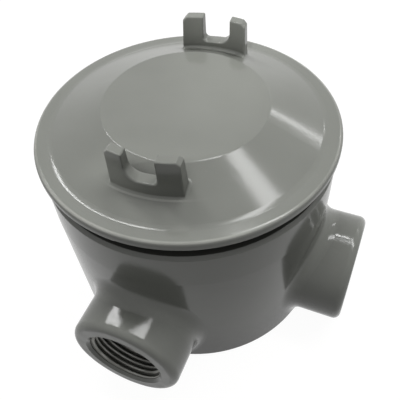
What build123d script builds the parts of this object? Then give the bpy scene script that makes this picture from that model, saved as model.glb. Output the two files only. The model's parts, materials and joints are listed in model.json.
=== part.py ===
from build123d import *
from math import sqrt
import os

# Explosion-proof electrical box: a round cast body with two threaded conduit hubs, and a screw-on cover.
# The base lies on z = 0 and the box's axis is Z. One hub points along +X, the other along -Y.
# All sizes are in millimetres and all angles in degrees, measured about Z from +X.

# Body
body_height = 66.4
rim_radius = 49.8
rim_band_height = 14.0
base_radius = 48.1
body_wall = 7.5
floor_thickness = 6.0
rim_chamfer = 1.1
rim_edge_round = 0.4
bore_lead = 0.8
base_round = 1.2
cavity_round = 4.0

# Conduit hubs, with a parallel pipe thread G 3/4
hub_angles = (0.0, -90.0)
hub_radius = 19.7
hub_reach = 63.7
hub_height = 20.3
hub_root_round = 5.5
hub_mouth_round = 2.6
entry_radius = 13.25
entry_depth = 17.0
entry_chamfer = 1.0
conduit_stop_radius = 10.5
conduit_stop_round = 1.2

# Cover
cover_radius = 50.8
flange_side = 3.2
flange_rise = 0.2
flange_ledge = 5.5
plateau_radius = 27.3
plateau_rise = 7.75
cover_wall = 4.6
flange_round = 1.4
plateau_round = 1.2
cone_foot_round = 5.0

# Screwed joint of cover and body. The turns of both threads fill the room between neck and bore.
neck_radius = 42.1
neck_length = 15.2
neck_wall = 5.6
neck_chamfer = 1.0
thread_depth = 0.9
thread_clearance = 0.05
thread_runout = 2.5

# Cover seal, squeezed between flange and rim
seal_height = 5.2
seal_width = 5.6
seal_clearance = 0.1

# Lugs on the cover, which take a bar laid in their notches
lug_angle = 95.0
lug_outer_radius = 37.2
lug_width = 23.2
lug_height = 17.5
lug_foot_thickness = 4.7
lug_top_thickness = 3.4
lug_corner = 1.2
lug_side_draft = 0.4
lug_foot_round = 1.0
lug_edge_round = 0.5
notch_width = 9.6
notch_offset = -0.6
notch_floor_above = 4.8
notch_square_round = 1.6
notch_eased_round = 4.2

# Set screw that locks the cover, M5, in the rim on the side away from the hubs
far_side_angle = 135.0
lock_screw_radius = 2.5
lock_screw_length = 6.0
lock_screw_depth_in_thread = 7.0
lock_screw_gap = 0.35
lock_key_size = 2.5
lock_key_depth = 2.6
screw_clearance = 0.05

# Terminal block
way_count = 5
way_pitch = 9.5
block_angle = 45.0
block_offset = 9.0
block_width = 20.4
block_base_height = 6.5
ear_length = 9.0
barrier_thickness = 2.0
barrier_height = 7.0
block_corner_round = 2.5
block_boss_radius = 4.6
block_boss_height = 4.0
bar_width = 6.9
bar_length = 18.8
bar_thickness = 2.4
bar_corner = 0.8
clamp_spacing = 9.8
saddle_width = 6.6
saddle_length = 8.8
saddle_thickness = 0.9
saddle_lip = 0.8

# Screws M4 in the terminal block, and M5 at the two earth points
m4_radius = 2.0
m4_head_radius = 3.3
m4_head_height = 2.6
m5_radius = 2.5
m5_head_size = 8.0
m5_head_height = 3.5
slot_width = 0.9
slot_depth = 1.2
clamp_screw_reach = 3.2
block_screw_reach = 5.5
spring_washer_thickness = 1.0
spring_washer_width = 1.5
flat_washer_thickness = 1.0
washer_clearance = 0.2
blind_hole_spare = 0.6

# Earth points: one on the floor between the hubs, one outside on the far side
inner_earth_angle = -45.0
inner_earth_distance = 29.0
inner_boss_radius = 6.0
inner_boss_height = 5.0
earth_screw_reach = 7.5
outer_earth_height = 15.0
outer_boss_radius = 8.0
outer_boss_rise = 2.6
earth_saddle_width = 10.0
earth_saddle_length = 13.0

# Heights and radii that follow from the sizes above
taper_height = body_height - rim_band_height
flange_underside = body_height + seal_height
flange_edge_height = flange_underside + flange_side
cone_foot_height = flange_edge_height + flange_rise
cone_foot_radius = cover_radius - flange_ledge
plateau_height = cone_foot_height + plateau_rise
neck_end = flange_underside - neck_length
thread_bore_radius = neck_radius + thread_depth + thread_clearance
thread_bore_end = neck_end - thread_runout
way_half_span = way_count * way_pitch / 2
block_half_length = way_half_span + barrier_thickness / 2 + ear_length
block_seat_height = floor_thickness + block_boss_height
ear_screw_place = block_half_length - ear_length / 2


# Shared forms

def outline(points):
    """Closed face in the XZ plane from (x, z) points."""
    return make_face(Polyline([(x, 0, z) for x, z in points], close=True))


def turned(points):
    """Solid turned about the box's axis from (radius, height) points."""
    return revolve(outline(points), Axis.Z)


def rings(solid, radius, height):
    """Circular edges of the solid about the box's axis, at one radius and height."""
    circles = solid.edges().filter_by(GeomType.CIRCLE)
    return circles.filter_by(lambda e: abs(e.radius - radius) < 0.01 and abs(e.arc_center.Z - height) < 0.01)


def body_radius_at(height):
    """Outer radius of the body at a height: tapered up to the straight band at the rim."""
    return base_radius + (rim_radius - base_radius) * min(height / taper_height, 1)


def cone_height_at(radius):
    """Height of the cover's cone at a radius."""
    share = (cone_foot_radius - radius) / (cone_foot_radius - plateau_radius)
    return cone_foot_height + share * plateau_rise


def around_axis(angle):
    """Place turned about the box's axis, so that its own +X points outwards at the angle."""
    return Rot(0, 0, angle)


def radial_place(angle, distance, height):
    """Place whose +Z points outwards from the box's axis, at a distance and height."""
    return around_axis(angle) * Pos(distance, 0, height) * Rot(0, 90, 0)


def disc(radius, thickness):
    """Cylinder that stands on z = 0."""
    return Cylinder(radius, thickness, align=(Align.CENTER, Align.CENTER, Align.MIN))


def block_on_floor(length, width, height):
    """Box that stands on z = 0."""
    return Box(length, width, height, align=(Align.CENTER, Align.CENTER, Align.MIN))


# Body casting

def body_outside():
    """Tapered drum with both hubs, blended at their roots and cut flat at the base."""
    below = -2 * hub_root_round
    drum = turned([(0, below), (body_radius_at(below), below), (rim_radius, taper_height),
                   (rim_radius, body_height - rim_chamfer), (rim_radius - rim_chamfer, body_height),
                   (0, body_height)])
    hubs = [radial_place(a, 0, hub_height) * disc(hub_radius, hub_reach) for a in hub_angles]
    shape = drum + hubs
    roots = shape.edges().filter_by(lambda e: e.geom_type not in (GeomType.CIRCLE, GeomType.LINE))
    shape = fillet(roots, hub_root_round)
    reach = 2 * hub_reach
    shape -= Pos(0, 0, -reach / 2) * Box(2 * reach, 2 * reach, reach)
    shape = fillet(shape.edges().group_by(Axis.Z)[0], base_round)
    shape = fillet(rings(shape, rim_radius, body_height - rim_chamfer), rim_edge_round)
    shape = fillet(rings(shape, rim_radius - rim_chamfer, body_height), rim_edge_round)
    for angle in hub_angles:
        mouth = Vector(1, 0, 0).rotate(Axis.Z, angle) * hub_reach + Vector(0, 0, hub_height)
        edges = shape.edges().filter_by(GeomType.CIRCLE)
        edge = edges.filter_by(lambda e: (e.arc_center - mouth).length < 0.01)
        shape = fillet(edge, hub_mouth_round)
    return shape


def body_cavity():
    """Inner space of the body, with the wider threaded bore at the top."""
    top = thread_bore_end
    low_radius = body_radius_at(floor_thickness) - body_wall
    high_radius = body_radius_at(top) - body_wall
    points = [(0, floor_thickness), (low_radius, floor_thickness), (high_radius, top)]
    space = turned(points + [(0, top)])
    space = fillet(rings(space, low_radius, floor_thickness), cavity_round)
    bore = Pos(0, 0, top) * disc(thread_bore_radius, body_height - top)
    lead = Cone(thread_bore_radius, thread_bore_radius + bore_lead, bore_lead,
                align=(Align.CENTER, Align.CENTER, Align.MIN))
    return space + bore + Pos(0, 0, body_height - bore_lead) * lead


def hub_bore(angle):
    """Threaded entry from the hub's mouth, and the narrower way past the conduit stop."""
    inward = radial_place(angle, hub_reach, hub_height) * Rot(180, 0, 0)
    entry = disc(entry_radius, entry_depth)
    stop_start = hub_reach - body_radius_at(hub_height) + body_wall
    way = disc(conduit_stop_radius, stop_start + body_wall)
    eased = Pos(0, 0, entry_depth) * Cone(conduit_stop_radius + conduit_stop_round, conduit_stop_radius,
                                          conduit_stop_round, align=(Align.CENTER, Align.CENTER, Align.MIN))
    mouth = Cone(entry_radius + entry_chamfer, entry_radius, entry_chamfer,
                 align=(Align.CENTER, Align.CENTER, Align.MIN))
    return inward * (entry + way + eased + mouth)


def block_place():
    """Place of the terminal block: its length along +X, its own origin on the bosses."""
    return Rot(0, 0, block_angle) * Pos(0, block_offset, block_seat_height)


def with_boss(shape, place, radius, height, hole_radius, screw_reach):
    """The shape with a round boss and its blind tapped hole. The place is the middle of the boss's face."""
    root = min(floor_thickness, body_wall) / 2
    boss = place * Pos(0, 0, -height - root) * disc(radius, height + root)
    hole_depth = screw_reach + blind_hole_spare
    return shape + boss - place * Pos(0, 0, -hole_depth) * disc(hole_radius, hole_depth)


def body_casting():
    """The whole cast and machined body."""
    shape = body_outside() - body_cavity()
    for angle in hub_angles:
        shape -= hub_bore(angle)
    for side in (-1, 1):
        place = block_place() * Pos(side * ear_screw_place, 0, 0)
        shape = with_boss(shape, place, block_boss_radius, block_boss_height, m4_radius, block_screw_reach)
    shape = with_boss(shape, inner_earth_place(), inner_boss_radius, inner_boss_height, m5_radius,
                      earth_screw_reach)
    shape = with_boss(shape, outer_earth_place(), outer_boss_radius, outer_boss_rise, m5_radius,
                      earth_screw_reach)
    shape -= radial_place(far_side_angle, 0, lock_screw_height()) * disc(lock_screw_radius, 2 * rim_radius)
    return shape


# Cover casting

def cover_shell():
    """Flange, cone and raised centre, hollow underneath, with the neck."""
    inner = neck_radius - neck_wall
    slope = plateau_rise / (cone_foot_radius - plateau_radius)
    drop = cover_wall * sqrt(1 + slope * slope)
    ceiling = plateau_height - cover_wall
    ceiling_radius = plateau_radius + (plateau_height - drop - ceiling) / slope
    inner_height = cone_height_at(inner) - drop
    points = [(0, ceiling), (ceiling_radius, ceiling), (inner, inner_height), (inner, neck_end),
              (neck_radius - neck_chamfer, neck_end), (neck_radius, neck_end + neck_chamfer),
              (neck_radius, flange_underside), (cover_radius, flange_underside),
              (cover_radius, flange_edge_height), (cone_foot_radius, cone_foot_height),
              (plateau_radius, plateau_height), (0, plateau_height)]
    shell = turned(points)
    shell = fillet(rings(shell, cover_radius, flange_edge_height), flange_round)
    shell = fillet(rings(shell, cover_radius, flange_underside), flange_round / 2)
    shell = fillet(rings(shell, plateau_radius, plateau_height), plateau_round)
    return fillet(rings(shell, cone_foot_radius, cone_foot_height), cone_foot_round)


def lug():
    """One notched lug: a plate curved about the box's axis, with its middle on +X."""
    foot = cone_height_at(lug_outer_radius) - cover_wall / 2
    top = flange_edge_height + lug_height
    half = lug_width / 2
    slim = half - lug_side_draft
    floor = cone_height_at(lug_outer_radius) + notch_floor_above
    left = notch_offset - notch_width / 2
    right = notch_offset + notch_width / 2
    right_edge = [(half, foot), (slim, top - lug_corner), (slim - lug_corner, top)]
    left_edge = [(-y, z) for y, z in reversed(right_edge)]
    front = make_face(Polyline(right_edge + left_edge, close=True))
    above = top + lug_corner
    notch = make_face(Polyline([(left, floor), (right, floor), (right, above), (left, above)], close=True))
    notch = fillet(notch.vertices().group_by(Axis.Y)[0].sort_by(Axis.X)[0], notch_eased_round)
    notch = fillet(notch.vertices().group_by(Axis.Y)[0].sort_by(Axis.X)[-1], notch_square_round)
    across = Plane(origin=(0, 0, 0), x_dir=(0, 1, 0), z_dir=(1, 0, 0))
    slab = extrude(across * (front - notch), lug_outer_radius)
    inner_foot = lug_outer_radius - lug_foot_thickness
    inner_top = lug_outer_radius - lug_top_thickness
    ring = turned([(lug_outer_radius, foot), (lug_outer_radius, top), (inner_top, top), (inner_foot, foot)])
    plain = slab & ring
    upper = plain.edges().filter_by(lambda e: e.bounding_box().max.Z > foot + lug_edge_round)
    return fillet(upper, lug_edge_round)


def lug_foot_edges(shape):
    """Edges where the lugs meet the cone: the only ones between its foot and its top that aren't rings."""
    low = cone_foot_height + cone_foot_round / 8
    edges = shape.edges().filter_by(lambda e: low < e.bounding_box().min.Z)
    edges = edges.filter_by(lambda e: e.bounding_box().max.Z < plateau_height)
    return edges.filter_by(lambda e: Vector(e.center().X, e.center().Y).length > plateau_radius)


def cover_casting():
    """The whole cover: both lugs are the same, half a turn apart."""
    shape = cover_shell()
    for angle in (lug_angle, lug_angle + 180):
        shape += around_axis(angle) * lug()
    return fillet(lug_foot_edges(shape), lug_foot_round)


def cover_seal():
    """Seal ring with its top and bottom squeezed flat, close round the neck."""
    middle = neck_radius + seal_clearance + seal_width / 2
    section = Plane.XZ * Pos(middle, body_height + seal_height / 2) * SlotOverall(seal_width, seal_height)
    return revolve(section, Axis.Z)


# Screws and washers. Each stands with the underside of its head, or its own underside, on z = 0.

def slot_cut(radius, top):
    """Driver slot across a screw head, cut down from its top."""
    return Pos(0, 0, top - slot_depth) * block_on_floor(2 * radius + 1, slot_width, slot_depth + 1)


def cheese_screw(shank_radius, head_radius, head_height, length):
    """Slotted screw with a round head and rounded edge."""
    head = disc(head_radius, head_height)
    head = fillet(head.edges().group_by(Axis.Z)[-1], head_height / 4)
    head -= slot_cut(head_radius, head_height)
    return head + Pos(0, 0, -length) * disc(shank_radius, length)


def hex_screw(shank_radius, head_size, head_height, length):
    """Hexagon screw with a slot across its head and its corners turned off."""
    head = extrude(RegularPolygon(head_size / 2, 6, major_radius=False), head_height)
    corner = head_size / sqrt(3)
    turned_off = Cone(corner + head_height, corner - head_height / 4, head_height * 1.25,
                      align=(Align.CENTER, Align.CENTER, Align.MIN))
    head = (head & turned_off) - slot_cut(corner, head_height)
    return head + Pos(0, 0, -length) * disc(shank_radius, length)


def flat_washer(hole_radius, outer_radius, thickness):
    """Plain round washer."""
    return disc(outer_radius, thickness) - disc(hole_radius, thickness)


def spring_washer(hole_radius):
    """Split ring with a slanting gap."""
    ring = flat_washer(hole_radius, hole_radius + spring_washer_width, spring_washer_thickness)
    middle = hole_radius + spring_washer_width / 2
    gap = Pos(middle, 0, spring_washer_thickness / 2) * Rot(25, 0, 0) * Box(3 * spring_washer_width, 0.5, 4)
    return ring - gap


def saddle(length, width, hole_radius):
    """Clamping plate with its two ends turned up."""
    plate = block_on_floor(length, width, saddle_thickness)
    for side in (-1, 1):
        place = Pos(side * (length - saddle_thickness) / 2, 0, saddle_thickness)
        plate += place * block_on_floor(saddle_thickness, width, saddle_lip)
    return plate - disc(hole_radius, saddle_thickness)


# Terminal block

def way_centres():
    """Places of the ways along the block, from its left end."""
    first = -(way_count - 1) / 2 * way_pitch
    return [first + i * way_pitch for i in range(way_count)]


def clamp_places():
    """Both clamp places across a way."""
    return (-clamp_spacing / 2, clamp_spacing / 2)


def terminal_base():
    """Moulded block with barriers between the ways and a lower ear at each end."""
    block = block_on_floor(2 * block_half_length, block_width, block_base_height)
    block = fillet(block.edges().filter_by(Axis.Z), block_corner_round)
    for i in range(way_count + 1):
        place = Pos(i * way_pitch - way_half_span, 0, block_base_height)
        block += place * block_on_floor(barrier_thickness, block_width, barrier_height)
    for side in (-1, 1):
        block -= Pos(side * ear_screw_place, 0, 0) * disc(m4_radius + washer_clearance, block_base_height)
    pocket_depth = clamp_screw_reach + 0.5
    for x in way_centres():
        for y in clamp_places():
            pocket = Pos(x, y, block_base_height - pocket_depth)
            block -= pocket * disc(m4_radius + washer_clearance, pocket_depth)
    return block_place() * block


def terminal_bar():
    """Brass bar with two tapped holes and its corners cut."""
    bar = block_on_floor(bar_width, bar_length, bar_thickness)
    bar = chamfer(bar.edges().filter_by(Axis.Z), bar_corner)
    for y in clamp_places():
        bar -= Pos(0, y, 0) * disc(m4_radius, bar_thickness)
    return bar


# Places of the separate pieces

def lock_screw_height():
    """Height of the set screw, part of the way down the threaded bore."""
    return body_height - lock_screw_depth_in_thread


def inner_earth_place():
    """Top of the earth boss on the floor."""
    height = floor_thickness + inner_boss_height
    return around_axis(inner_earth_angle) * Pos(inner_earth_distance, 0, height)


def outer_earth_place():
    """Face of the earth boss outside, with +Z pointing outwards."""
    face = body_radius_at(outer_earth_height) + outer_boss_rise
    return radial_place(far_side_angle, face, outer_earth_height)


def lock_screw():
    """Headless set screw with a hexagon socket, flush in the rim."""
    body = disc(lock_screw_radius - screw_clearance, lock_screw_length)
    body = chamfer(body.edges().group_by(Axis.Z)[0], 0.6)
    socket = extrude(RegularPolygon(lock_key_size / 2, 6, major_radius=False), lock_key_depth)
    body -= Pos(0, 0, lock_screw_length - lock_key_depth) * socket
    tip = thread_bore_radius + lock_screw_gap
    return radial_place(far_side_angle, tip, lock_screw_height()) * body


def terminals():
    """Bars, screws and saddles of every way."""
    pieces = {}
    for number, x in enumerate(way_centres(), 1):
        place = block_place() * Pos(x, 0, block_base_height)
        pieces[f"terminal_bar_{number}"] = place * terminal_bar()
        for letter, y in zip("ab", clamp_places()):
            seat = place * Pos(0, y, bar_thickness)
            length = saddle_thickness + bar_thickness + clamp_screw_reach
            plate = saddle(saddle_length, saddle_width, m4_radius + washer_clearance)
            screw = cheese_screw(m4_radius - screw_clearance, m4_head_radius, m4_head_height, length)
            pieces[f"terminal_saddle_{number}{letter}"] = seat * Rot(0, 0, 90) * plate
            pieces[f"terminal_screw_{number}{letter}"] = seat * Pos(0, 0, saddle_thickness) * screw
    return pieces


def block_fixings():
    """Two screws with spring washers that hold the block on its bosses."""
    pieces = {}
    for number, side in enumerate((-1, 1), 1):
        seat = block_place() * Pos(side * ear_screw_place, 0, block_base_height)
        length = spring_washer_thickness + block_base_height + block_screw_reach
        screw = cheese_screw(m4_radius - screw_clearance, m4_head_radius, m4_head_height, length)
        pieces[f"block_spring_washer_{number}"] = seat * spring_washer(m4_radius + washer_clearance)
        pieces[f"block_screw_{number}"] = seat * Pos(0, 0, spring_washer_thickness) * screw
    return pieces


def earth_point(name, place):
    """Saddle, flat washer, spring washer and hexagon screw, stacked outwards from the boss."""
    hole = m5_radius + washer_clearance
    flat_seat = saddle_thickness
    spring_seat = flat_seat + flat_washer_thickness
    head_seat = spring_seat + spring_washer_thickness
    length = head_seat + earth_screw_reach
    washer_radius = earth_saddle_length / 2 - saddle_thickness - washer_clearance
    flat = flat_washer(hole, washer_radius, flat_washer_thickness)
    screw = hex_screw(m5_radius - screw_clearance, m5_head_size, m5_head_height, length)
    return {
        f"{name}_saddle": place * saddle(earth_saddle_length, earth_saddle_width, hole),
        f"{name}_flat_washer": place * Pos(0, 0, flat_seat) * flat,
        f"{name}_spring_washer": place * Pos(0, 0, spring_seat) * spring_washer(hole),
        f"{name}_screw": place * Pos(0, 0, head_seat) * screw,
    }


def all_pieces():
    """Every separate piece of the box by its name."""
    pieces = {
        "body_casting": body_casting(),
        "cover_casting": cover_casting(),
        "cover_o_ring": cover_seal(),
        "cover_lock_screw": lock_screw(),
        "terminal_base": terminal_base(),
    }
    pieces.update(terminals())
    pieces.update(block_fixings())
    pieces.update(earth_point("inner_earth", inner_earth_place()))
    pieces.update(earth_point("outer_earth", outer_earth_place()))
    return pieces


os.makedirs("parts", exist_ok=True)
for piece_name, piece in all_pieces().items():
    export_step(piece, f"parts/{piece_name}.step")
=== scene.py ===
# %% [markdown]
# # A round cast box for flameproof wiring
# The box is cast in aluminium and dipped in grey enamel. Its cover screws in, two hubs take the conduits,
# and a terminal block sits inside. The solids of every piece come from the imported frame, at their real
# size. This script gives them their finishes, winds the fine screw threads, and sets up the floor, the
# lamps and the camera.

# %% Load the frame
import json
import math
import bpy
from mathutils import Matrix, Vector


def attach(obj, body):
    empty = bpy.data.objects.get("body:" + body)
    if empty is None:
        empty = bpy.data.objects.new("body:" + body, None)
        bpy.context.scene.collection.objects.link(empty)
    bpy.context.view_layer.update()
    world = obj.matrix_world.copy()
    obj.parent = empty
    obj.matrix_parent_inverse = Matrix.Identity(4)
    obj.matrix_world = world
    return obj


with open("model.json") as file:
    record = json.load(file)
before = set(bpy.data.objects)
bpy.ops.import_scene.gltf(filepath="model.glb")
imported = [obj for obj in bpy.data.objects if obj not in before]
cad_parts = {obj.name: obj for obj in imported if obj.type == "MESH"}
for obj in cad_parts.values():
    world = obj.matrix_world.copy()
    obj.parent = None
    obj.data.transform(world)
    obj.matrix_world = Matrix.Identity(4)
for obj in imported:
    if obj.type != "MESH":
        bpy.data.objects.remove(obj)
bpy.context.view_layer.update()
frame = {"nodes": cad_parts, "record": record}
nodes = frame["nodes"]

# %% [markdown]
# ## Where the camera stands
# The photograph was taken from close by, so the near hub looks large and the far lug small. The camera's
# place and lens were worked out from the outlines of the cover, the base and both hubs. All lengths here
# are in metres.

# %% Camera
CAMERA_PLACE = Vector((0.06199, -0.12208, 0.19346))
CAMERA_TURN = math.radians(25.978)
CAMERA_DIP = math.radians(49.379)
CAMERA_ROLL = math.radians(-4.422)
LENS_MM = 48.672

eye = bpy.data.cameras.new("eye")
eye.lens = LENS_MM
eye.sensor_width = 36
eye.clip_start = 0.01
camera = bpy.data.objects.new("camera", eye)
bpy.context.scene.collection.objects.link(camera)
aimed = Matrix.Rotation(CAMERA_TURN, 4, "Z") @ Matrix.Rotation(math.pi / 2 - CAMERA_DIP, 4, "X")
camera.matrix_world = Matrix.Translation(CAMERA_PLACE) @ aimed @ Matrix.Rotation(CAMERA_ROLL, 4, "Z")
bpy.context.scene.camera = camera
bpy.context.scene.view_settings.view_transform = "Standard"
print("the camera stands", round(CAMERA_PLACE.length * 1000), "mm from the middle of the base")

# %% [markdown]
# ## Writing a finish
# A finish is a node tree, and long trees are hard to read as lists of links. So one small class wraps a
# socket and lets it be added and multiplied like a number, and one method adds any other kind of node.

# %% Sockets that can be reckoned with
class Value:
    """A socket that carries one number. Adding to it, or multiplying it, adds a Math node."""

    def __init__(self, tree, socket):
        self.tree = tree
        self.socket = socket

    def reckon(self, operation, *others):
        numbers = dict(enumerate((self, *others)))
        return self.tree.add("ShaderNodeMath", {"operation": operation}, numbers)

    def __add__(self, other):
        return self.reckon("ADD", other)

    def __sub__(self, other):
        return self.reckon("SUBTRACT", other)

    def __mul__(self, other):
        return self.reckon("MULTIPLY", other)

    def __rsub__(self, other):
        return self.tree.add("ShaderNodeMath", {"operation": "SUBTRACT"}, {0: other, 1: self})

    def __pow__(self, other):
        return self.reckon("POWER", other)

    __radd__ = __add__
    __rmul__ = __mul__

    def between(self, low, high):
        """0 where the value is below low, 1 above high, and a smooth step from one to the other."""
        steps = {"Value": self, "From Min": low, "From Max": high}
        return self.tree.add("ShaderNodeMapRange", {"interpolation_type": "SMOOTHSTEP"}, steps)


class Tree:
    """A node tree in the making."""

    def __init__(self, tree):
        self.tree = tree

    def node(self, kind, settings=(), inputs=()):
        """Adds a node, first with its settings, and then with the numbers or links of its sockets."""
        new = self.tree.nodes.new(kind)
        for name, setting in dict(settings).items():
            setattr(new, name, setting)
        for name, value in dict(inputs).items():
            self.feed(new.inputs[name], value)
        return new

    def feed(self, socket, value):
        """Links a socket to a value, or sets it to a plain number or colour."""
        if isinstance(value, Value):
            value = value.socket
        if isinstance(value, bpy.types.NodeSocket):
            self.tree.links.new(value, socket)
        elif socket.type == "RGBA" and len(value) == 3:
            socket.default_value = (*value, 1)
        else:
            socket.default_value = value

    def add(self, kind, settings=(), inputs=(), output=0):
        """Adds a node and gives one of its outputs as a value."""
        return Value(self, self.node(kind, settings, inputs).outputs[output])


class Finish(Tree):
    """A material in the making."""

    def __init__(self, name):
        self.material = bpy.data.materials.new(name)
        self.material.use_nodes = True
        super().__init__(self.material.node_tree)
        self.shader = self.tree.nodes["Principled BSDF"]
        self.place = self.node("ShaderNodeTexCoord").outputs["Object"]

    def stretched(self, scale):
        """Object coordinates stretched by a scale along X, Y and Z."""
        return self.node("ShaderNodeMapping", (), {"Vector": self.place, "Scale": scale}).outputs["Vector"]

    def along(self, axis):
        """The object's own coordinate along X, Y or Z."""
        return self.add("ShaderNodeSeparateXYZ", (), {"Vector": self.place}, output=axis)

    def noise(self, scale, detail=2.0, roughness=0.5, place=None):
        """Cloudy pattern from 0 to 1. The scale is in spots per metre."""
        inputs = {"Vector": place or self.place, "Scale": scale, "Detail": detail, "Roughness": roughness}
        return self.add("ShaderNodeTexNoise", (), inputs)

    def mix(self, factor, first, second):
        """Colour that goes from the first to the second as the factor goes from 0 to 1."""
        settings = {"data_type": "RGBA"}
        node = self.node("ShaderNodeMix", settings, {0: factor, 6: first, 7: second})
        return node.outputs[2]

    def set(self, **inputs):
        """Sets or links sockets of the main shader, named with _ for each space."""
        for name, value in inputs.items():
            self.feed(self.shader.inputs[name.replace("_", " ")], value)

    def bump(self, height, depth=1.0):
        """Lets a pattern stand out of the surface. Depth is what a height of 1 stands out, in metres."""
        inputs = {"Height": height, "Distance": depth, "Strength": 1.0}
        self.set(Normal=self.node("ShaderNodeBump", (), inputs).outputs["Normal"])


def colour(red, green, blue):
    """A colour as a picture editor gives it, from 0 to 255, made linear as shaders take it."""
    parts = [part / 255 for part in (red, green, blue)]
    return tuple(p / 12.92 if p <= 0.04045 else ((p + 0.055) / 1.055) ** 2.4 for p in parts)


print("a middle grey of 128 is", [round(part, 3) for part in colour(128, 128, 128)])

# %% [markdown]
# ## Grey enamel
# The castings are smooth, glossy and nearly one colour. What makes paint look like paint is small: the film
# is a little wavy where the sand casting under it is, its gloss varies, and fine orange peel breaks the
# edges of reflections. The waves are wide and shallow, the peel is narrow and shallower still.
#
# Three things follow the photograph. Painted shade darkens its corners more than these lamps do: an Ambient
# Occlusion node tells how much open air each point sees, and the paint is darker where that is little.
# Painted highlights run as light lines along the flange's edge and along a lug's foot. Both lines are found
# from the distance to the box's axis and from the height. The spots on the near hub lie as if it narrowed a
# little towards its mouth, as castings do to leave their mould. Its solid is straight, so a slope in the
# height of the bump turns its reflections.

# %% Where shade and highlights are painted
CORNER_REACH = 0.03
FLANGE_EDGE_REACH = 0.0499
FLANGE_EDGE_HEIGHT = 0.0745
LUG_FOOT_REACH = 0.038
LUG_FOOT_HEIGHT = 0.0765


def painted_corner_shade(paint):
    """Painted shade: 1 in deep corners, 0 in the open."""
    open_air = paint.add("ShaderNodeAmbientOcclusion", {"samples": 8}, {"Distance": CORNER_REACH}, output=1)
    return (1 - open_air).between(0.08, 0.65)


def painted_edge_highlights(paint, cloud, corner_shade):
    """Painted highlights: lines along the flange's edge, uneven as the cloud is, and along the lugs' feet,
    in the corners.
    """
    across = paint.node("ShaderNodeVectorMath", {"operation": "MULTIPLY"}, {0: paint.place, 1: (1, 1, 0)})
    reach = paint.add("ShaderNodeVectorMath", {"operation": "LENGTH"}, {0: across.outputs[0]}, output=1)
    height = paint.along("Z")
    off_edge = (reach - FLANGE_EDGE_REACH).reckon("ABSOLUTE")
    off_edge = off_edge + (height - FLANGE_EDGE_HEIGHT).reckon("ABSOLUTE")
    edge = (1 - off_edge.between(0.0002, 0.0009)) * (0.25 + 0.9 * cloud.between(0.35, 0.65))
    off_foot = (reach - LUG_FOOT_REACH).reckon("ABSOLUTE")
    on_cone = height.between(LUG_FOOT_HEIGHT, LUG_FOOT_HEIGHT + 0.0005)
    foot = (1 - off_foot.between(0.0002, 0.00045)) * corner_shade.between(0.1, 0.3) * on_cone
    return edge.reckon("MAXIMUM", 1.2 * foot)


# %% Enamel for both castings
WAVE_HEIGHT = 0.00006
PEEL_HEIGHT = 0.000012
HUB_STRAIGHT_TO = 0.052
HUB_DRAFT = 0.06
HUB_DENTS = 0.012


def grey_enamel():
    paint = Finish("grey_enamel")
    cloud = paint.noise(28, detail=3)
    dust = paint.noise(900, detail=4, roughness=0.7).between(0.62, 0.8)
    corner_shade = painted_corner_shade(paint)
    tone = paint.mix(cloud.between(0.3, 0.7), colour(130, 132, 126), colour(136, 138, 132))
    tone = paint.mix(dust * 0.25, tone, colour(156, 157, 151))
    # painted shade: the enamel is darker in corners
    tone = paint.mix(corner_shade * 0.85, tone, colour(66, 67, 63))
    # painted highlights: light lines on the flange's edge and the lugs' feet
    tone = paint.mix(0.7 * painted_edge_highlights(paint, cloud, corner_shade), tone, colour(190, 191, 184))
    paint.set(Base_Color=tone, Roughness=0.11 + 0.05 * cloud + 0.15 * dust, Specular_IOR_Level=0.38)
    waves = paint.noise(55, detail=1)
    peel = paint.noise(650, detail=2)
    dents = paint.noise(190, detail=1)
    out_on_hub = (-1 * paint.along("Y") - HUB_STRAIGHT_TO).reckon("MAXIMUM", 0.0)
    draft = out_on_hub * (HUB_DENTS * dents - HUB_DRAFT)
    paint.bump(WAVE_HEIGHT * waves + PEEL_HEIGHT * peel + draft)
    print("the enamel has", len(paint.tree.nodes), "nodes")
    return paint.material


# %% [markdown]
# ## Rubber, plated steel, brass and moulding
# The other finishes are small in the picture but close up they tell what each piece is. Nitrile rubber is
# matt and nearly black. Zinc plating is bright with a faint blue and yellow cast and fine scratches. Brass
# terminals are drawn, so their grain runs along them. The moulded block is a pale compound with specks of
# filler. Threads are cut after the painting, so they are bare aluminium, dulled by air and grease.

# %% Finishes of the small pieces
def seal_rubber():
    rubber = Finish("seal_rubber")
    bloom = rubber.noise(400, detail=4, roughness=0.65)
    tone = rubber.mix(bloom.between(0.45, 0.8), colour(18, 18, 19), colour(40, 40, 40))
    rubber.set(Base_Color=tone, Roughness=0.5 + 0.25 * bloom)
    rubber.bump(bloom, 0.00003)
    return rubber.material


def plated_steel():
    zinc = Finish("plated_steel")
    cast = zinc.noise(140, detail=2)
    scratches = zinc.noise(300, detail=5, roughness=0.8, place=zinc.stretched((1, 9, 3)))
    zinc.set(Base_Color=zinc.mix(cast, colour(196, 198, 203), colour(206, 201, 186)), Metallic=1.0)
    zinc.set(Roughness=0.26 + 0.2 * scratches)
    zinc.bump(scratches, 0.00001)
    return zinc.material


def brass():
    metal = Finish("brass")
    grain = metal.noise(500, detail=5, roughness=0.8, place=metal.stretched((6, 6, 1)))
    stain = metal.noise(120, detail=3).between(0.5, 0.75)
    metal.set(Base_Color=metal.mix(stain, colour(206, 182, 124), colour(168, 142, 92)), Metallic=1.0)
    metal.set(Roughness=0.24 + 0.22 * grain + 0.1 * stain)
    metal.bump(grain, 0.00001)
    return metal.material


def moulding():
    compound = Finish("moulding")
    flow = compound.noise(90, detail=3, place=compound.stretched((1, 1, 2)))
    specks = compound.noise(2200, detail=1).between(0.68, 0.74)
    tone = compound.mix(flow, colour(214, 208, 190), colour(224, 219, 203))
    compound.set(Base_Color=compound.mix(specks * 0.5, tone, colour(168, 160, 142)))
    compound.set(Roughness=0.34 + 0.12 * flow)
    compound.bump(flow, 0.00004)
    return compound.material


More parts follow.
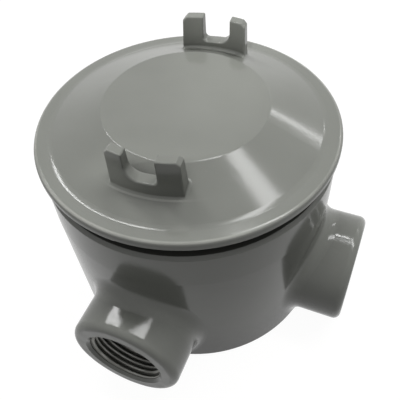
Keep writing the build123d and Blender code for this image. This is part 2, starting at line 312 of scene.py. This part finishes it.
def bare_aluminium():
    metal = Finish("bare_aluminium")
    chatter = metal.noise(900, detail=3, roughness=0.7)
    dull = metal.noise(160, detail=3).between(0.4, 0.7)
    metal.set(Base_Color=metal.mix(dull, colour(160, 160, 155), colour(128, 128, 123)), Metallic=0.45)
    metal.set(Roughness=0.46 + 0.15 * chatter + 0.12 * dull)
    metal.bump(chatter, 0.00001)
    return metal.material


FINISHES = {make.__name__: make()
            for make in (grey_enamel, seal_rubber, plated_steel, brass, moulding, bare_aluminium)}
slot_of = {part["node"]: part["material_slot"] for part in frame["record"]["subparts"]}
for name, solid in nodes.items():
    for slot in solid.material_slots:
        slot.material = FINISHES[slot_of[name]]
print("finishes given:", ", ".join(FINISHES))

# %% [markdown]
# ## Screw threads
# Three threads are cut in this box: the one that holds the cover, which shows when the cover comes off, and
# a pipe thread in each hub, which shows in its mouth. A thread is one ridge that winds round and round, so
# a Geometry Nodes tree winds it: a spiral curve is the path, and a small trapezoid is the section that is
# swept along it. The same tree makes every thread from a few sizes. At both ends the ridge fades out, as
# where a cutting tool lifts.

# %% A tree that winds a thread
THREAD_SIZES = ("Root Radius", "Pitch", "Turns", "Depth", "Foot Width", "Crest Width", "Outwards")
STEPS_A_TURN = 72
FADE_TURNS = 0.4
FOOT_SINK = 0.00008


def thread_tree():
    """Winds a right-hand ridge up the Z axis. Outwards is 1 on a screw, and -1 in a bore."""
    tree = Tree(bpy.data.node_groups.new("screw_thread", "GeometryNodeTree"))
    sockets = tree.tree.interface
    for name in THREAD_SIZES:
        sockets.new_socket(name=name, in_out="INPUT", socket_type="NodeSocketFloat")
    sockets.new_socket(name="Finish", in_out="INPUT", socket_type="NodeSocketMaterial")
    sockets.new_socket(name="Mesh", in_out="OUTPUT", socket_type="NodeSocketGeometry")
    given = tree.node("NodeGroupInput").outputs
    radius, pitch, turns, depth, foot, crest, outwards = (Value(tree, given[name]) for name in THREAD_SIZES)
    path = tree.add("GeometryNodeCurveSpiral", (), {
        "Resolution": STEPS_A_TURN, "Rotations": turns, "Start Radius": radius, "End Radius": radius,
        "Height": turns * pitch, "Reverse": True})
    level = tree.add("GeometryNodeSetCurveNormal", {"mode": "Z_UP"}, {"Curve": path})
    section = tree.add("GeometryNodeCurvePrimitiveQuadrilateral", {"mode": "TRAPEZOID"}, {
        "Bottom Width": foot, "Top Width": crest, "Height": depth + FOOT_SINK, "Offset": 0.0})
    quarter_turn = tree.add("ShaderNodeCombineXYZ", (), {"Z": outwards * (-math.pi / 2)})
    shift = tree.add("ShaderNodeCombineXYZ", (), {"X": outwards * (depth - FOOT_SINK) * 0.5})
    section = tree.add("GeometryNodeTransform", (), {
        "Geometry": section, "Translation": shift, "Rotation": quarter_turn})
    along = tree.add("GeometryNodeSplineParameter")
    turns_from_end = along.reckon("MINIMUM", 1 - along) * turns
    fade = (turns_from_end * (1 / FADE_TURNS)).reckon("MINIMUM", 1.0)
    ridge = tree.add("GeometryNodeCurveToMesh", (), {
        "Curve": level, "Profile Curve": section, "Scale": fade.reckon("MAXIMUM", 0.02), "Fill Caps": True})
    ridge = tree.add("GeometryNodeRealizeInstances", (), {"Geometry": ridge})
    ridge = tree.add("GeometryNodeSetMaterial", (), {"Geometry": ridge, "Material": given["Finish"]})
    tree.feed(tree.node("NodeGroupOutput").inputs["Mesh"], ridge)
    return tree.tree


THREAD_TREE = thread_tree()
print("the tree that winds a thread has", len(THREAD_TREE.nodes), "nodes")

# %% Winding one thread
def wind(name, body, place, sizes):
    """Winds one thread, puts it in its place and lets it ride on its body."""
    holder = bpy.data.objects.new(name, bpy.data.meshes.new(name))
    bpy.context.scene.collection.objects.link(holder)
    maker = holder.modifiers.new("thread", "NODES")
    maker.node_group = THREAD_TREE
    for socket in THREAD_TREE.interface.items_tree:
        if socket.in_out == "INPUT":
            value = FINISHES["bare_aluminium"] if socket.name == "Finish" else float(sizes[socket.name])
            maker[socket.identifier] = value
    ready = holder.evaluated_get(bpy.context.evaluated_depsgraph_get())
    mesh = bpy.data.meshes.new_from_object(ready)
    holder.modifiers.remove(maker)
    holder.data = mesh
    mesh.transform(place)
    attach(holder, body)
    print(name, "has", len(mesh.polygons), "faces")


# %% [markdown]
# ## Where the threads are
# The cover's thread stands on its neck, and the body's thread stands in the bore round it, with the same
# pitch, so that their turns mesh. The pipe threads lie in the hubs: their height and radius are those of
# the mounts in the frame's record, and each starts a little way behind its hub's mouth.

# %% Threads of the cover and the body
COVER_THREAD = {"Pitch": 0.002, "Depth": 0.0009, "Foot Width": 0.00142, "Crest Width": 0.00044}
NECK_THREAD = {**COVER_THREAD, "Root Radius": 0.0421, "Turns": 4.3, "Outwards": 1}
BORE_THREAD = {**COVER_THREAD, "Root Radius": 0.04305, "Turns": 5.4, "Outwards": -1}
NECK_THREAD_START = 0.0576
BORE_THREAD_START = 0.0546

wind("cover_thread", "cover", Matrix.Translation((0, 0, NECK_THREAD_START)), NECK_THREAD)
wind("body_thread", "housing", Matrix.Translation((0, 0, BORE_THREAD_START)), BORE_THREAD)

# %% Pipe threads of the hubs
PIPE_THREAD = {"Pitch": 0.001814, "Depth": 0.00119, "Foot Width": 0.0016, "Crest Width": 0.0003}
HUB_THREAD = {**PIPE_THREAD, "Turns": 8.3, "Outwards": -1}
HUB_THREAD_START = 0.0475

lying = Matrix.Rotation(math.pi / 2, 4, "Y") @ Matrix.Translation((0, 0, HUB_THREAD_START))
for mount in frame["record"]["mounts"]:
    if mount["kind"] == "threaded_hole":
        x, y, height = mount["pos_m"]
        place = Matrix.Translation((0, 0, height)) @ Matrix.Rotation(math.atan2(y, x), 4, "Z") @ lying
        radius = mount["dims"]["r_mm"] / 1000
        wind("hub_thread_" + mount["name"][-1], "housing", place, {**HUB_THREAD, "Root Radius": radius})

# %% [markdown]
# ## Floor and light
# The picture's background is plain white. The floor and the sky are white only to the camera and to
# reflections; the light that they give the box is much less, so that its sides stay darker than its top, as
# in the photograph.
#
# Glossy paint shows its lamps, so the lamps are long strips under the ceiling, each where the enamel
# mirrors it. The left strip draws the thin line round the cone's foot and the left spot on the near hub.
# The right strip draws the broad streak on the cone and the other spot on that hub. The far strip draws the
# narrow streak beside the broad one, and the small hub strip the line on the other hub.
#
# The lugs stand upright and catch little of that light. A snoot lamp, which is a lamp with a narrow beam,
# lights each of them from the front without lighting anything else, and it is hidden from reflections.

# %% Floor
FLOOR_RADIUS = 3.0
FLOOR_HEIGHT = -0.0002
FLOOR_SIDES = 96
FLOOR_WHITE = 0.96
FLOOR_GLOSS = 0.84


def white_floor():
    pale = Finish("white_floor")
    pale.set(Base_Color=colour(80, 80, 78), Roughness=0.9, Specular_IOR_Level=0.1)
    path = pale.node("ShaderNodeLightPath")
    seen = Value(pale, path.outputs["Is Camera Ray"]) + Value(pale, path.outputs["Is Transmission Ray"])
    seen = seen + FLOOR_GLOSS * Value(pale, path.outputs["Is Glossy Ray"])
    pale.set(Emission_Color=(1, 1, 1), Emission_Strength=seen * FLOOR_WHITE)
    return pale.material


ring = [Matrix.Rotation(2 * math.pi * side / FLOOR_SIDES, 3, "Z") @ Vector((FLOOR_RADIUS, 0, FLOOR_HEIGHT))
        for side in range(FLOOR_SIDES)]
floor = bpy.data.objects.new("floor", bpy.data.meshes.new("floor"))
floor.data.from_pydata(ring, [], [list(range(FLOOR_SIDES))])
bpy.context.scene.collection.objects.link(floor)
floor.data.materials.append(white_floor())
print("the floor is", 2 * FLOOR_RADIUS, "m across")

# %% Sky
SKY_LIGHT = 0.9
SKY_FILL = 0.2
SKY_FOCUS = 6.0
SKY_MIDDLE = Vector((-0.1, 0.25, 0.96)).normalized()


def white_sky():
    world = bpy.data.worlds.new("sky")
    world.use_nodes = True
    sky = Tree(world.node_tree)
    background = sky.tree.nodes["Background"]
    path = sky.node("ShaderNodeLightPath")
    seen = Value(sky, path.outputs["Is Camera Ray"]) + Value(sky, path.outputs["Is Glossy Ray"])
    seen = seen + Value(sky, path.outputs["Is Transmission Ray"])
    both = {0: sky.node("ShaderNodeTexCoord").outputs["Generated"], 1: SKY_MIDDLE}
    facing = sky.add("ShaderNodeVectorMath", {"operation": "DOT_PRODUCT"}, both, output=1)
    glow = SKY_FILL + SKY_LIGHT * facing.reckon("MAXIMUM", 0.0) ** SKY_FOCUS
    sky.feed(background.inputs["Color"], (1, 1, 1))
    sky.feed(background.inputs["Strength"], seen + (1 - seen) * glow)
    bpy.context.scene.world = world


white_sky()
print("the sky is brightest towards", [round(part, 2) for part in SKY_MIDDLE])

# %% Ceiling lamps
CEILING = 1.5
ROW_TURN = math.radians(-12)


def strip_lamp(name, across, back, size, radiance):
    """Flat lamp under the ceiling that faces down, with its place and size in shares of the ceiling's
    height. Its radiance is how bright it looks in a reflection, where white is 1."""
    lamp = bpy.data.lights.new(name, "AREA")
    lamp.shape = "RECTANGLE"
    lamp.size = size[0] * CEILING
    lamp.size_y = size[1] * CEILING
    lamp.energy = radiance * math.pi * lamp.size * lamp.size_y
    holder = bpy.data.objects.new(name, lamp)
    middle = Vector((across, back, 1)) * CEILING
    holder.matrix_world = Matrix.Translation(middle) @ Matrix.Rotation(ROW_TURN, 4, "Z")
    bpy.context.scene.collection.objects.link(holder)
    print(name, "gives", round(lamp.energy), "watts")


strip_lamp("left_strip", -0.74, 0.33, (0.9, 0.1), 17.0)
strip_lamp("right_strip", 0.35, 0.27, (0.66, 0.18), 11.0)
strip_lamp("hub_strip", -0.06, 0.5, (0.2, 0.07), 24.0)
strip_lamp("far_strip", 0.75, 1.52, (0.6, 0.15), 13.0)

# %% Snoot lamps
FAR_LUG = Vector((0.003, 0.035, 0.087))
NEAR_LUG = Vector((-0.011, -0.0355, 0.085))
SNOOT_RADIUS = 0.004


def snoot_lamp(name, aim, way, beam, power):
    """Lamp that stands a way off from its aim. Its soft beam is as wide as beam where it meets the aim."""
    lamp = bpy.data.lights.new(name, "SPOT")
    lamp.energy = power
    lamp.spot_size = 2 * math.atan(beam / 2 / way.length)
    lamp.spot_blend = 1.0
    lamp.shadow_soft_size = SNOOT_RADIUS
    holder = bpy.data.objects.new(name, lamp)
    holder.visible_glossy = False
    turned = (-way).to_track_quat("-Z", "Y").to_matrix().to_4x4()
    holder.matrix_world = Matrix.Translation(aim + way) @ turned
    bpy.context.scene.collection.objects.link(holder)
    print(name, "has a beam of", round(math.degrees(lamp.spot_size), 1), "degrees")


snoot_lamp("far_lug_lamp", FAR_LUG, Vector((0.2, -1.1, 0.5)), 0.056, 33.0)
snoot_lamp("near_lug_lamp", NEAR_LUG, Vector((-1.0, -0.5, 0.4)), 0.026, 22.0)
